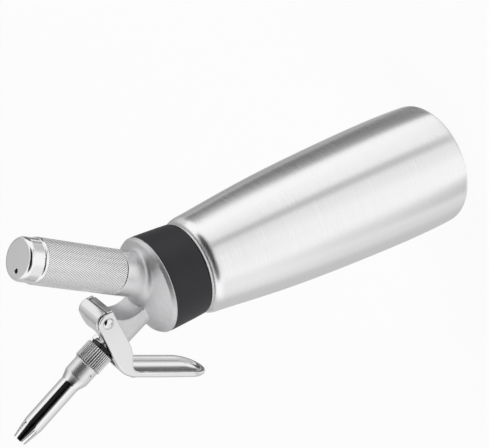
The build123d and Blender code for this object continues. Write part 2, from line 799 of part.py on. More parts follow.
builders = {
    "bottle": bottle,
    "head_casting": head_casting,
    "grip_collar": grip_collar,
    "head_gasket": head_gasket,
    "hinge_pin": hinge_pin,
    "charger_inlet": charger_inlet,
    "inlet_seal": inlet_seal,
    "check_sleeve": check_sleeve,
    "gas_charger": gas_charger,
    "charger_holder": charger_holder,
    "valve_stem": valve_stem,
    "valve_seal": valve_seal,
    "valve_spring": valve_spring,
    "gland_nut": gland_nut,
    "stem_ring": stem_ring,
    "push_collar": push_collar,
    "lock_nut": lock_nut,
    "lever": lever,
    "nozzle_nut": nozzle_nut,
    "nozzle_washer": nozzle_washer,
    "decorating_tip": tip,
}

os.makedirs("parts", exist_ok=True)
for name, build in builders.items():
    save(name, build())
    print("built", name)
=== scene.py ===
"""Whipped cream dispenser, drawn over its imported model. Sizes are in millimetres and become metres in the
meshes. Heights in the head's sections count from the plane of its flange, 215 mm above the base.
"""
import json
import bpy
import numpy as np
from mathutils import Matrix, Vector


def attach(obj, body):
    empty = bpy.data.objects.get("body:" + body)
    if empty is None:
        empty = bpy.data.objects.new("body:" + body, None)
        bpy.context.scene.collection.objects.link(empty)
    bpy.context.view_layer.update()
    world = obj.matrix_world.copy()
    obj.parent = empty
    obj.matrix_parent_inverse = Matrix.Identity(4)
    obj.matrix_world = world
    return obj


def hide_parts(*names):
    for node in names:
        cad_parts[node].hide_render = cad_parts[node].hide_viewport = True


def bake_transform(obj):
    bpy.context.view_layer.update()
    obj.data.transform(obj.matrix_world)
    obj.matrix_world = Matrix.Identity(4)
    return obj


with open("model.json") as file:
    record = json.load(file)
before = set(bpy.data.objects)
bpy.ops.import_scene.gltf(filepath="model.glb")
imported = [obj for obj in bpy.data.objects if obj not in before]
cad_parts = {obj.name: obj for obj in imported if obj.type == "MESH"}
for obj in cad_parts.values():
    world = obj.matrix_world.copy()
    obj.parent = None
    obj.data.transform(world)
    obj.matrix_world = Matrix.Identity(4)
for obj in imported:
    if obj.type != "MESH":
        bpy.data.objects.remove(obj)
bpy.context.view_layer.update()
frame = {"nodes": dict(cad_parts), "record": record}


# ---------------------------------------------------------------------------------------------------------
# Camera. It stands above the charger holder's side, nearly a metre off with a long lens, rolled so that the
# bottle lies across the picture.

camera_place = (0.4615, -0.6013, 0.5726)
camera_right = Vector((-0.044, -0.600, -0.799)).normalized()
camera_back = Vector((0.520, -0.697, 0.494)).normalized()
camera_up = camera_back.cross(camera_right).normalized()
camera_right = camera_up.cross(camera_back)
camera_data = bpy.data.cameras.new("camera")
camera_data.lens = 107.77
camera_data.clip_end = 20.0
camera = bpy.data.objects.new("camera", camera_data)
camera.matrix_world = Matrix([*zip(camera_right, camera_up, camera_back, camera_place), (0, 0, 0, 1)])
bpy.context.scene.collection.objects.link(camera)
bpy.context.scene.camera = camera


# ---------------------------------------------------------------------------------------------------------
# Bottle. One drawn and spun steel shell, brushed along its length, with a rounded shoulder and a neck that
# the head screws over. Base and corner are pressed in one piece with the wall.

arc_points, arc_share = 7, 0.49


def arcs(corners):
    """A profile with rounded corners. Each corner is (x, y, radius): an arc of that radius touches the run
    before it and the run after it, and its points step evenly from one touching point to the other."""
    places = np.array([c[:2] for c in corners], float)
    line = []
    for i, corner in enumerate(corners):
        radius = corner[2] if len(corner) > 2 else 0
        if radius == 0 or i in (0, len(corners) - 1):
            line.append(places[i])
            continue
        before, after = places[i - 1] - places[i], places[i + 1] - places[i]
        reach = arc_share * min(np.linalg.norm(before), np.linalg.norm(after))
        before, after = before / np.linalg.norm(before), after / np.linalg.norm(after)
        half = np.arccos(np.clip(before @ after, -1, 1)) / 2
        touch = min(radius / np.tan(half), reach)
        centre = places[i] + (before + after) / np.linalg.norm(before + after) * touch / np.cos(half)
        first, last = places[i] + before * touch - centre, places[i] + after * touch - centre
        sweep = np.pi - 2 * half
        t = np.linspace(0, 1, arc_points)[:, None]
        line.extend(centre + (np.sin((1 - t) * sweep) * first + np.sin(t * sweep) * last) / np.sin(sweep))
    return np.array(line)


def axes_of(direction):
    """Two unit vectors square to a direction and to each other, the first as near +Y as it can be."""
    direction = np.array(direction, float) / np.linalg.norm(direction)
    seed = np.array((0, 1, 0)) if abs(direction[1]) < 0.9 else np.array((1, 0, 0))
    first = seed - direction * (seed @ direction)
    first /= np.linalg.norm(first)
    return first, np.cross(direction, first), direction


mm = 0.001      # a millimetre in Blender's metres


def piece(name, points, faces, body, material, node=(), normals=None, sharp=35.0):
    """A mesh object from points in millimetres and faces of three or four points, smooth except where two
    faces meet at more than the sharp angle. It rides on a body, if one is given, and may stand for CAD
    nodes."""
    used, faces = np.unique(faces, return_inverse=True)
    faces = faces.reshape(-1, 4)
    points = np.asarray(points)[used]
    slim = [(faces[:, k] == faces[:, (k + 1) % 4]) for k in range(4)]
    whole = ~np.any(slim, axis=0)
    groups = [faces[whole]]
    for k in range(4):
        keep = [i for i in range(4) if i != k]
        groups.append(faces[slim[k]][:, keep])
    mesh = bpy.data.meshes.new(name)
    mesh.from_pydata((points * mm).tolist(), [], [f for g in groups for f in g.tolist()])
    mesh.polygons.foreach_set("use_smooth", np.ones(len(mesh.polygons), bool))
    if normals is not None:
        mesh.normals_split_custom_set_from_vertices(np.asarray(normals)[used].tolist())
    else:
        mesh.set_sharp_from_angle(angle=np.radians(sharp))
    mesh.materials.append(material)
    made = bpy.data.objects.new(name, mesh)
    bpy.context.scene.collection.objects.link(made)
    if body:
        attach(made, body)
    if node:
        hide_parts(*node)
    return made


def turned(profile, columns, foot=(0, 0, 0), direction=(0, 0, 1), closed=True, swell=None):
    """A profile of (radius, height) carried round an axis: the point at angle t is foot + height * axis +
    radius * (cos t, sin t) across it. A point of radius 0 is one pole. swell adds to the radius, row by
    column. The profile runs counter-clockwise, with the metal on its left."""
    profile = np.asarray(profile, float)
    first, second, along = axes_of(direction)
    turn = np.linspace(0, 2 * np.pi, columns, endpoint=False)
    radius = np.repeat(profile[:, :1], columns, 1)
    if swell is not None:
        radius = radius + swell
    points = (np.asarray(foot, float) + profile[:, 1, None, None] * along
              + radius[..., None] * (np.cos(turn)[:, None] * first + np.sin(turn)[:, None] * second))
    rows = len(profile)
    index = np.arange(rows * columns).reshape(rows, columns)
    index[profile[:, 0] < 1e-6] = index[profile[:, 0] < 1e-6][:, :1]
    upper = np.roll(index, -1, 0)
    if not closed:
        index, upper = index[:-1], upper[:-1]
    faces = np.stack([index, np.roll(index, -1, 1), np.roll(upper, -1, 1), upper], -1).reshape(-1, 4)
    flat = (faces[:, 0] == faces[:, 1]) & (faces[:, 2] == faces[:, 3])
    return points.reshape(-1, 3), faces[~flat]


def add_node(tree, kind, inputs=(), **settings):
    """A node of a kind with its settings. Each of its inputs, by name or number, is linked where it is given
    another node's output, and set where it is given a value."""
    node = tree.nodes.new("ShaderNode" + kind)
    for setting, value in settings.items():
        setattr(node, setting, value)
    for key, value in dict(inputs).items():
        if isinstance(value, bpy.types.NodeSocket):
            tree.links.new(value, node.inputs[key])
        else:
            node.inputs[key].default_value = value
    return node


def maths(tree, operation, *numbers):
    """The output of a Math node that works on values and other nodes' outputs."""
    return add_node(tree, "Math", enumerate(numbers), operation=operation).outputs[0]


def node_group(name, inputs, outputs):
    """A node group with inputs and outputs of the given names and kinds, with the sockets that bring its
    inputs in and those that take its outputs."""
    group = bpy.data.node_groups.new(name, "ShaderNodeTree")
    for sockets, way in ((inputs, "INPUT"), (outputs, "OUTPUT")):
        for socket, kind in sockets.items():
            group.interface.new_socket(socket, in_out=way, socket_type="NodeSocket" + kind)
    return group, group.nodes.new("NodeGroupInput").outputs, group.nodes.new("NodeGroupOutput").inputs


def grain_group():
    """Node group shared by the metals and rubbers: fine grain stretched along one direction, broad handling
    marks, and small pits, each as a value over the surface."""
    group, given, out = node_group("surface_grain",
                                   {"Vector": "Vector", "Grain Scale": "Float", "Mark Scale": "Float"},
                                   {"Grain": "Float", "Marks": "Float", "Pits": "Float"})
    fine = {"Vector": given["Vector"], "Scale": given["Grain Scale"]}
    grain = add_node(group, "TexNoise", {**fine, "Detail": 4.0})
    marks = add_node(group, "TexNoise", {"Vector": given["Vector"], "Scale": given["Mark Scale"],
                                         "Detail": 6.0, "Roughness": 0.65})
    pits = add_node(group, "TexVoronoi", fine)
    pit_edge = add_node(group, "MapRange", {"Value": pits.outputs["Distance"], "From Min": 0.05,
                                            "From Max": 0.35})
    for name, value in (("Grain", grain.outputs["Fac"]), ("Marks", marks.outputs["Fac"]),
                        ("Pits", pit_edge.outputs["Result"])):
        group.links.new(value, out[name])
    return group


def groove_shade_group():
    """Node group shared by the knurled pieces for the shade painted into their grooves: the distance from an
    axis, as a value that rises from 0 in the bottom of a groove to 1 on its crest."""
    group, given, out = node_group("groove_shade_mask",
                                   {"Vector": "Vector", "Foot": "Vector", "Axis": "Vector", "Low": "Float",
                                    "High": "Float"}, {"Crest": "Float"})
    arm = add_node(group, "VectorMath", {0: given["Vector"], 1: given["Foot"]}, operation="SUBTRACT")
    turn = add_node(group, "VectorMath", {0: arm.outputs["Vector"], 1: given["Axis"]},
                    operation="CROSS_PRODUCT")
    reach = add_node(group, "VectorMath", {0: turn.outputs["Vector"]}, operation="LENGTH")
    rise = add_node(group, "MapRange", {"Value": reach.outputs["Value"], "From Min": given["Low"],
                                        "From Max": given["High"]})
    group.links.new(rise.outputs["Result"], out["Crest"])
    return group


surface_grain, groove_shade_mask = grain_group(), groove_shade_group()


def finish(name, color, metallic, rough, grain=900.0, stretch=(1, 1, 1), lean=0.0, marks=40.0, shade=0.08,
           rough_marks=0.08, rough_grain=0.05, bump=0.1, pits=0.0, depth=0.02, spun=None, groove_shade=None,
           satin=None):
    """A material whose colour, roughness and height vary with the shared grain: shade, rough_marks and
    rough_grain are how far they go either way, pits is the share of small pits in the height, and bump and
    depth are how strong and deep the relief is. stretch draws the grain out along the piece's own axes, and
    lean turns those axes about Y first, by degrees. A piece that was brushed as it spun about an axis spreads
    its reflections along that axis. groove_shade (foot, axis, low, high, share) is painted shade in a knurl's
    grooves: it darkens what lies nearer to an axis, by the share at the bottom. satin (foot, axis, start, end,
    more) is rougher before a place along it. Lengths are in millimetres."""
    material = bpy.data.materials.new(name)
    material.use_nodes = True
    tree = material.node_tree
    shader = tree.nodes["Principled BSDF"]
    shader.inputs["Metallic"].default_value = metallic
    if spun is not None:
        shader.inputs["Anisotropic"].default_value = 0.8
        brushed = add_node(tree, "CombineXYZ", enumerate(spun))
        tree.links.new(brushed.outputs["Vector"], shader.inputs["Tangent"])
    place = add_node(tree, "TexCoord").outputs["Object"]
    drawn = add_node(tree, "Mapping", {"Vector": place, "Rotation": (0, np.radians(lean), 0),
                                       "Scale": stretch}, vector_type="TEXTURE")
    worn = add_node(tree, "Group", {"Vector": drawn.outputs["Vector"], "Grain Scale": grain,
                                    "Mark Scale": marks}, node_tree=surface_grain).outputs
    dark, light = ((*[min(1, c * (1 + way * shade)) for c in color], 1) for way in (-1, 1))
    surface = add_node(tree, "Mix", {"Factor": worn["Marks"], "A": dark, "B": light}, data_type="RGBA")
    # painted shade: the colour darkens towards the bottom of a knurl's grooves
    if groove_shade is not None:
        foot, axis, low, high, share = groove_shade
        crest = add_node(tree, "Group", {"Vector": place, "Foot": foot * mm, "Axis": axis, "Low": low * mm,
                                         "High": high * mm}, node_tree=groove_shade_mask)
        surface = add_node(tree, "Mix", {"Factor": crest.outputs["Crest"], "B": surface.outputs["Result"],
                                         "A": (*[c * (1 - share) for c in color], 1)}, data_type="RGBA")
    tree.links.new(surface.outputs["Result"], shader.inputs["Base Color"])
    coarse = maths(tree, "MULTIPLY_ADD", worn["Marks"], 2 * rough_marks, rough - rough_marks - rough_grain)
    matt = maths(tree, "MULTIPLY_ADD", worn["Grain"], 2 * rough_grain, coarse)
    if satin is not None:
        foot, axis, start, end, more = satin
        offset = np.dot(foot, axis)
        along = add_node(tree, "VectorMath", {0: place, 1: axis / mm}, operation="DOT_PRODUCT")
        zone = add_node(tree, "MapRange", {"Value": along.outputs["Value"], "From Min": start + offset,
                                           "From Max": end + offset, "To Min": more, "To Max": 0})
        matt = maths(tree, "ADD", zone.outputs["Result"], matt)
    tree.links.new(matt, shader.inputs["Roughness"])
    height = maths(tree, "MULTIPLY_ADD", worn["Pits"], pits, worn["Grain"])
    relief = add_node(tree, "Bump", {"Strength": bump, "Distance": depth * mm, "Height": height})
    tree.links.new(relief.outputs["Normal"], shader.inputs["Normal"])
    return material


bottle_steel = finish("brushed bottle steel", (0.97, 0.97, 0.975), 1.0, 0.29, grain=1500.0,
                      stretch=(30, 30, 1), marks=14.0, shade=0.03, rough_marks=0.03, rough_grain=0.06,
                      bump=0.10, spun=(0, 0, 1))
wall_rings, bottle_columns = 90, 224
bottle_widest, bottle_wall = 39.9, 1.2
shoulder_foot, shoulder_rise, shoulder_sink = 183, 5.6, 4.6
neck_outer, neck_inner, neck_top = 24.55, 22.6, 210.5

# (height, radius) along the wall, and one smooth curve of the sixth degree through them
wall_stations = np.array([(7, 39.6), (20, 39.88), (35, 39.85), (50, 39.5), (65, 38.98), (80, 38.35),
                          (95, 37.6), (110, 36.75), (125, 35.75), (140, 34.4), (155, 32.85), (170, 31.15),
                          (177, 30.4), (184, 29.7)])
wall_curve = np.polynomial.Polynomial.fit(wall_stations[:, 0], wall_stations[:, 1], 6)
wall_heights = np.concatenate([np.linspace(7, shoulder_foot, wall_rings),
                               shoulder_foot + shoulder_rise * np.sin(np.radians(np.arange(8, 89, 8)))])
past_shoulder = np.maximum(wall_heights - shoulder_foot, 0)
wall_sink = shoulder_sink * (1 - np.sqrt(1 - (past_shoulder / shoulder_rise) ** 2))
wall_radii = np.minimum(wall_curve(np.minimum(wall_heights, wall_stations[-1, 0])), bottle_widest) - wall_sink
outer_wall = np.stack([wall_radii, wall_heights], 1)
inner_wall = (outer_wall - (bottle_wall, 0))[:wall_rings][::-1]
base_corner = arcs([(0, 0), (35.5, 0, 4.5), (39.35, 2.2, 3.0), (39.6, 7)])[:-1]
neck = arcs([(24.9, 188.6), (neck_outer, 188.7), (neck_outer, neck_top, 0.4), (neck_inner, neck_top, 0.4),
             (neck_inner, 186.4, 2.0), (27.6, 186.4, 2.0), (28.6, 183.2)])[:-1]
inner_corner = arcs([(38.4, 7), (38.2, 2.6, 2.0), (34.0, bottle_wall, 3.0), (0, bottle_wall)])[1:]
bottle_profile = np.concatenate([base_corner, outer_wall, neck, inner_wall, inner_corner])
points, faces = turned(bottle_profile, bottle_columns, closed=False)
piece("bottle_shell", points, faces, "bottle", bottle_steel, ["bottle"])


# ---------------------------------------------------------------------------------------------------------
# Head. One aluminium casting: a cone-shaped dome with a turned flange, a skirt that screws over the neck and
# ends in a thin lip, a round boss for the charger holder, and a flat-sided arm, milled and scooped, for the
# nozzle's valve and the lever's pin.

def outline_distance(x, z, outline):
    """Distance from (x, z) to a closed outline of straight runs, negative inside. It is the least distance
    to any run, and its sign comes from how many runs a level line to the right crosses."""
    nearest, inside = np.inf, False
    for (ax, az), (bx, bz) in zip(outline, np.roll(outline, -1, 0)):
        ex, ez = bx - ax, bz - az
        t = np.clip(((x - ax) * ex + (z - az) * ez) / (ex * ex + ez * ez + 1e-12), 0, 1)
        nearest = np.minimum(nearest, (x - ax - t * ex) ** 2 + (z - az - t * ez) ** 2)
        if abs(ez) > 1e-9:
            inside = inside ^ (((az > z) != (bz > z)) & (x < ax + (z - az) * ex / ez))
    return np.where(inside, -1, 1) * np.sqrt(nearest)


def shrunk(outline, by):
    """The outline with every run moved inwards by a distance, its corners where the moved runs meet."""
    here, ahead, behind = outline, np.roll(outline, -1, 0), np.roll(outline, 1, 0)
    area = np.sum(here[:, 0] * ahead[:, 1] - ahead[:, 0] * here[:, 1])
    inward = 1 if area > 0 else -1
    after, before = ahead - here, here - behind
    after, before = (v / np.linalg.norm(v, axis=1, keepdims=True) for v in (after, before))
    side_a, side_b = (inward * np.stack([-v[:, 1], v[:, 0]], 1) for v in (after, before))
    middle = side_a + side_b
    return here + by * 2 * middle / np.maximum(np.sum(middle * middle, 1, keepdims=True), 1.0)


def both(a, b, radius):
    """Where two solids overlap, with the edge between them rounded to a radius. The distances are negative
    inside, and near the edge the result is the distance to an arc."""
    u, v = np.maximum(a + radius, 0), np.maximum(b + radius, 0)
    return np.minimum(np.maximum(a, b), -radius) + np.sqrt(u * u + v * v)


def joined(a, b, radius):
    """Two solids made one, with a hollow fillet of a radius between them."""
    return -both(-a, -b, radius)


def skin(field, low, high, step):
    """The surface where a field is zero. Each cell of a cubic grid that it passes through holds one point,
    the mean of its crossings of the cell's edges. Each point then moves along the field's slope onto the
    surface, and the slope there is its normal."""
    lines = [np.arange(a, b + step, step) for a, b in zip(low, high)]
    shape = tuple(len(line) for line in lines)
    value = np.broadcast_to(field(lines[0][:, None, None], lines[1][None, :, None], lines[2][None, None, :]),
                            shape).astype(np.float32)
    cells = tuple(n - 1 for n in shape)
    total, count = np.zeros((3, *cells), np.float32), np.zeros(cells, np.float32)
    crossings = []
    for axis in range(3):
        lower, upper = np.take(value, range(cells[axis]), axis), np.take(value, range(1, shape[axis]), axis)
        cross = (lower < 0) != (upper < 0)
        share = np.where(cross, lower / np.where(cross, lower - upper, 1), 0)
        crossings.append((cross, lower < 0))
        others = [k for k in range(3) if k != axis]
        for du in (0, 1):
            for dv in (0, 1):
                window = [slice(None)] * 3
                window[others[0]] = slice(du, du + cells[others[0]])
                window[others[1]] = slice(dv, dv + cells[others[1]])
                here = cross[tuple(window)]
                count += here
                total[axis] += share[tuple(window)]
                total[others[0]] += here * du
                total[others[1]] += here * dv
    active = count > 0
    number = np.full(cells, -1)
    number[active] = np.arange(active.sum())
    points = np.stack(np.nonzero(active), 1) + (total[:, active] / count[active]).T
    points = np.array(low) + points * step
    faces = []
    for axis in range(3):
        cross, below = crossings[axis]
        u, v = [k for k in range(3) if k != axis]
        where = np.stack(np.nonzero(cross), 1)
        edge = (where[:, u] > 0) & (where[:, u] < cells[u]) & (where[:, v] > 0) & (where[:, v] < cells[v])
        where = where[edge]
        quad = []
        for du, dv in ((-1, -1), (0, -1), (0, 0), (-1, 0)):
            cell = where.copy()
            cell[:, u] += du
            cell[:, v] += dv
            quad.append(number[tuple(cell.T)])
        quad = np.stack(quad, 1)
        flip = below[tuple(where.T)] == (axis == 1)
        quad[flip] = quad[flip][:, ::-1]
        faces.append(quad)

    def slope(at):
        """The field's rise along each axis, from its values a tiny step to both sides."""
        tiny = 0.01
        x, y, z = at.T
        return np.stack([field(x + tiny, y, z) - field(x - tiny, y, z),
                         field(x, y + tiny, z) - field(x, y - tiny, z),
                         field(x, y, z + tiny) - field(x, y, z - tiny)], 1) / (2 * tiny)

    for _ in range(3):
        steep = slope(points)
        reach = np.clip(field(*points.T) / np.maximum(np.sum(steep * steep, 1), 0.25), -step / 2, step / 2)
        points = points - steep * reach[:, None]
    steep = slope(points)
    normals = steep / np.maximum(np.linalg.norm(steep, axis=1, keepdims=True), 1e-9)
    return points, np.concatenate(faces), normals


def round_edge(centre, radius, start, end, count):
    """Points round a centre from one angle to another, in degrees: centre + radius * (cos t, sin t). The
    radius is one number, or two for an oval."""
    turn = np.radians(np.linspace(start, end, count))
    return np.asarray(centre) + np.multiply(radius, np.stack([np.cos(turn), np.sin(turn)], 1))


flange_centre = np.array((0, 0, 215.0))
leaning = np.sin(np.radians(30)), np.cos(np.radians(30))
charger_foot, charger_axis = np.array((5.3, 0, 0)), np.array((leaning[0], 0, leaning[1]))
holder_foot = flange_centre + charger_foot
nozzle_foot, nozzle_axis = np.array((-7.8, 0, 0)), np.array((-leaning[0], 0, leaning[1]))
nozzle_up = np.array((leaning[1], 0, leaning[0]))
pivot_along, pivot_rise = 29.35, 19.75
pivot = nozzle_foot + nozzle_axis * pivot_along + nozzle_up * pivot_rise
boss_radius, boss_foot, boss_end = 13.0, 3.0, 25.85
arm_half, arm_deep, arm_end, lug_radius = 9.0, 12.0, 32.95, 3.6
scoop_centre, scoop_radius = (3.65, 19.4), 13.5
head_edge, arm_edge = 0.15, 0.3

# the bores along the nozzle's and the charger's axis, each as (radius, start, end)
valve_bores = [(6.0, 27.3, np.inf), (5.2, 8.2, np.inf), (3.3, -np.inf, np.inf), (6.2, -np.inf, 5.2)]
gas_bores = [(4.0, -np.inf, np.inf), (5.5, -np.inf, 3.0), (5.2, 18.0, np.inf)]


def side_view(point):
    """A point of the head's middle plane as (x, height)."""
    return np.array((point[0], point[2]))


def around_charger(x, y, z):
    """Distance from the charger's axis, and place along it."""
    dx = x - charger_foot[0]
    return (np.sqrt(y * y + (leaning[1] * dx - leaning[0] * z) ** 2), leaning[0] * dx + leaning[1] * z)


def around_nozzle(x, z):
    """Height above the nozzle's axis, and place along it."""
    dx = x - nozzle_foot[0]
    return leaning[1] * dx + leaning[0] * z, -leaning[0] * dx + leaning[1] * z


def bored(from_axis, along, bores):
    """Distance to the room of bores on one axis: the least over them of the greatest of the distance past
    the bore's wall and past its two ends."""
    room = np.inf
    for radius, start, end in bores:
        room = np.minimum(room, np.maximum(from_axis - radius, np.maximum(start - along, along - end)))
    return room


head_outline = shrunk(np.array([(0, -2.45), (26.1, -2.45), (26.1, 0.5), (28.95, 0.5), (28.95, 1.0),
                                (27.75, 3.1), (4.5, 13.4), (0, 14.0)]), head_edge)
arm_outline = shrunk(np.concatenate([
    [side_view(nozzle_foot + nozzle_axis * along - nozzle_up * arm_deep) for along in (2, arm_end)],
    round_edge(side_view(pivot), lug_radius, 120, 0, 14),
    side_view(pivot) + [(lug_radius, -0.95), (6.0, -0.95), (6.0, -4.5)],
    round_edge(scoop_centre, scoop_radius, 135.5, 212, 20),
    [(-7.0, 5.0)],
]), arm_edge)


def head_field(x, y, z):
    """Distance to the casting's surface, negative inside: the turned dome, the boss and the arm joined with
    fillets, less the bores along the two axes."""
    base = outline_distance(np.sqrt(x * x + y * y), z, head_outline) - head_edge
    from_charger, up_charger = around_charger(x, y, z)
    boss = both(from_charger - boss_radius, both(up_charger - boss_end, boss_foot - up_charger, 0.1), 0.35)
    lift, along = around_nozzle(x, z)
    sides = np.sqrt(y * y + np.minimum(lift, 0) ** 2) - arm_half
    arm = both(outline_distance(x, z, arm_outline) - arm_edge, sides, 0.7)
    solid = joined(joined(base, boss, 2.9), arm, 1.2)
    valve_room = bored(np.sqrt(y * y + lift * lift), along, valve_bores)
    gas_room = bored(from_charger, up_charger, gas_bores)
    return both(both(solid, -valve_room, 0.25), -gas_room, 0.25)


cast_aluminium = finish("satin cast aluminium", (0.80, 0.80, 0.81), 1.0, 0.30, grain=900.0, marks=350.0,
                        shade=0.14, rough_marks=0.08, rough_grain=0.05, bump=0.40, pits=0.4,
                        satin=(holder_foot, charger_axis, 15.0, 18.5, 0.20))
head_step = 0.42
points, faces, normals = skin(head_field, (-33.5, -30, -4), (30, 30, 40), head_step)
piece("head_body", flange_centre + points, faces, "head", cast_aluminium, ["head_casting"],
      normals)

skirt_columns = 192
skirt_profile = arcs([(24.6, -2.4), (24.6, -25.9, 0.4), (27.8, -25.9, 0.35), (27.8, -24.4, 0.35),
                      (26.2, -24.4, 0.15), (26.2, -2.4), (24.6, -2.4)])[:-1]
points, faces = turned(skirt_profile, skirt_columns, flange_centre)
piece("head_skirt", points, faces, "head", cast_aluminium)

# the spigot in the boss, with a thread whose depth fades out at both ends
thread_rows, thread_columns = 150, 72
spigot_radius, thread_start, thread_end, thread_pitch, thread_depth = 10.28, 25.0, 34.3, 1.25, 0.55
thread_heights = np.linspace(thread_start, thread_end, thread_rows)[:, None]
thread_turn = np.linspace(0, 1, thread_columns, endpoint=False)
thread_wave = np.abs((thread_heights / thread_pitch - thread_turn) % 1 - 0.5) * 2
thread_fade = np.clip(thread_end - thread_heights, 0, 1) * np.clip((thread_heights - 26.0) / 0.8, 0, 1)
spigot_profile = np.concatenate([np.insert(thread_heights, 0, spigot_radius, 1),
                                 arcs([(10.0, thread_end), (8.3, thread_end, 0.2), (8.3, 23.5, 0.2),
                                       (5.2, 23.5, 0.2), (5.2, 19.0)])])
spigot_swell = np.zeros((len(spigot_profile), thread_columns))
spigot_swell[:thread_rows] = -thread_depth * thread_wave * thread_fade
points, faces = turned(spigot_profile, thread_columns, holder_foot, charger_axis, closed=False,
                       swell=spigot_swell)
piece("charger_spigot", points, faces, "head", cast_aluminium)


# ---------------------------------------------------------------------------------------------------------
# Grip collar. A black rubber sleeve, slightly conical, stretched over the head's skirt between the flange
# and the lip.

collar_rubber = finish("black grip rubber", (0.024, 0.022, 0.027), 0.0, 0.52, grain=1500.0, marks=30.0,
                       shade=0.25, rough_marks=0.10, rough_grain=0.06, bump=0.25, depth=0.04)
collar_profile = arcs([(26.2, -24.2), (27.3, -24.2, 0.5), (27.9, -23.4, 0.4), (28.3, -17.4, 2),
                       (28.65, -10, 2), (28.95, -3, 2), (28.95, 0.1, 0.25), (28.7, 0.45, 0.2), (26.2, 0.45),
                       (26.2, -24.2)])[:-1]
points, faces = turned(collar_profile, skirt_columns, flange_centre)
piece("collar_sleeve", points, faces, "head", collar_rubber, ["grip_collar"])


# ---------------------------------------------------------------------------------------------------------
# Lever. Stamped from steel sheet and chromed: two cheeks with eyes round the pin, a tongue rolled between
# them over the arm's lug, a front web with a slot for the stem, and a trough handle whose walls sink to the
# floor at its rounded tip.

def leant(degrees):
    """The front and the down direction of a plate: the nozzle's axis and the way under it, both turned by an
    angle in the middle plane."""
    turn = np.radians(degrees)
    return (nozzle_axis * np.cos(turn) + nozzle_up * np.sin(turn),
            -nozzle_up * np.cos(turn) + nozzle_axis * np.sin(turn))


def part_along(direction, dx, dz):
    """How far a step (dx, dz) in the middle plane goes in a direction: the product of the two."""
    return dx * direction[0] + dz * direction[2]


lever_half, lever_wall = 11.3, 1.6
inner_half = lever_half - lever_wall
eye_radius, cheek_length, side_edge = 6.0, 34.0, 0.4
bend_drop, bend_radius = 32.0, 20.0
handle_length, tip_round, trough_depth = 57.8, 15.0, 3.9
handle_flare, flare_run, floor_crown = 0.4, 15, 0.011
spoon_run, spoon_rise = 12, 0.0075
web_overlap, strip_inset, strip_half, strip_deep = 0.5, 0.7, 1.2, 3.5
roll_outer, roll_inner, slit_width, slit_reach = 6.6, 4.4, 0.5, 7.0
slot_middle, slot_run, slot_round = -20.5, 3.3, 6.7
notch_side, notch_start, notch_end, notch_deep = 2.0, 11.0, 20.5, 5.0
slant_side, slant_start, slant_end, slant_rise = 4.0, 4.0, 16.0, 0.14

pin_centre = flange_centre + pivot
cheek_front, cheek_down = leant(13.7)
web_front, web_down = leant(7.5)
handle_tilt = np.radians(25.66)
handle_along = np.array((-np.sin(handle_tilt), 0, -np.cos(handle_tilt)))
handle_out = np.array((-np.cos(handle_tilt), 0, np.sin(handle_tilt)))
bend_centre = pivot + cheek_front * (eye_radius - bend_radius) + cheek_down * bend_drop
bend_end = bend_centre + handle_out * bend_radius
front_angle, out_angle = (np.degrees(np.arctan2(way[2], way[0])) for way in (cheek_front, handle_out))

# the rim of the trough's walls as (place along the handle, depth), and the cheeks' back edge up to the eye
rim_edge = [side_view(bend_end + handle_along * along - handle_out * deep)
            for along, deep in ((handle_length, 0), (handle_length, 2.7), (51, 3.3), (42, trough_depth),
                                (8, trough_depth))]
back_edge = [(-48.9, 15.6), (-47.3, 18.6), (-45.4, 20.9), (-42.8, 22.1), (-39.5, 22.25), (-33.0, 21.7),
             (-28.5, 22.0), (-24.0, 23.1), (0.8, 31.4), (0.8, 31.9)]
eye_edge = round_edge(side_view(pivot), eye_radius, 0, front_angle, 16)
bend_edge = round_edge(side_view(bend_centre), bend_radius, front_angle, out_angle, 16)
side_outline = shrunk(np.concatenate([eye_edge, bend_edge, rim_edge, back_edge]), side_edge)


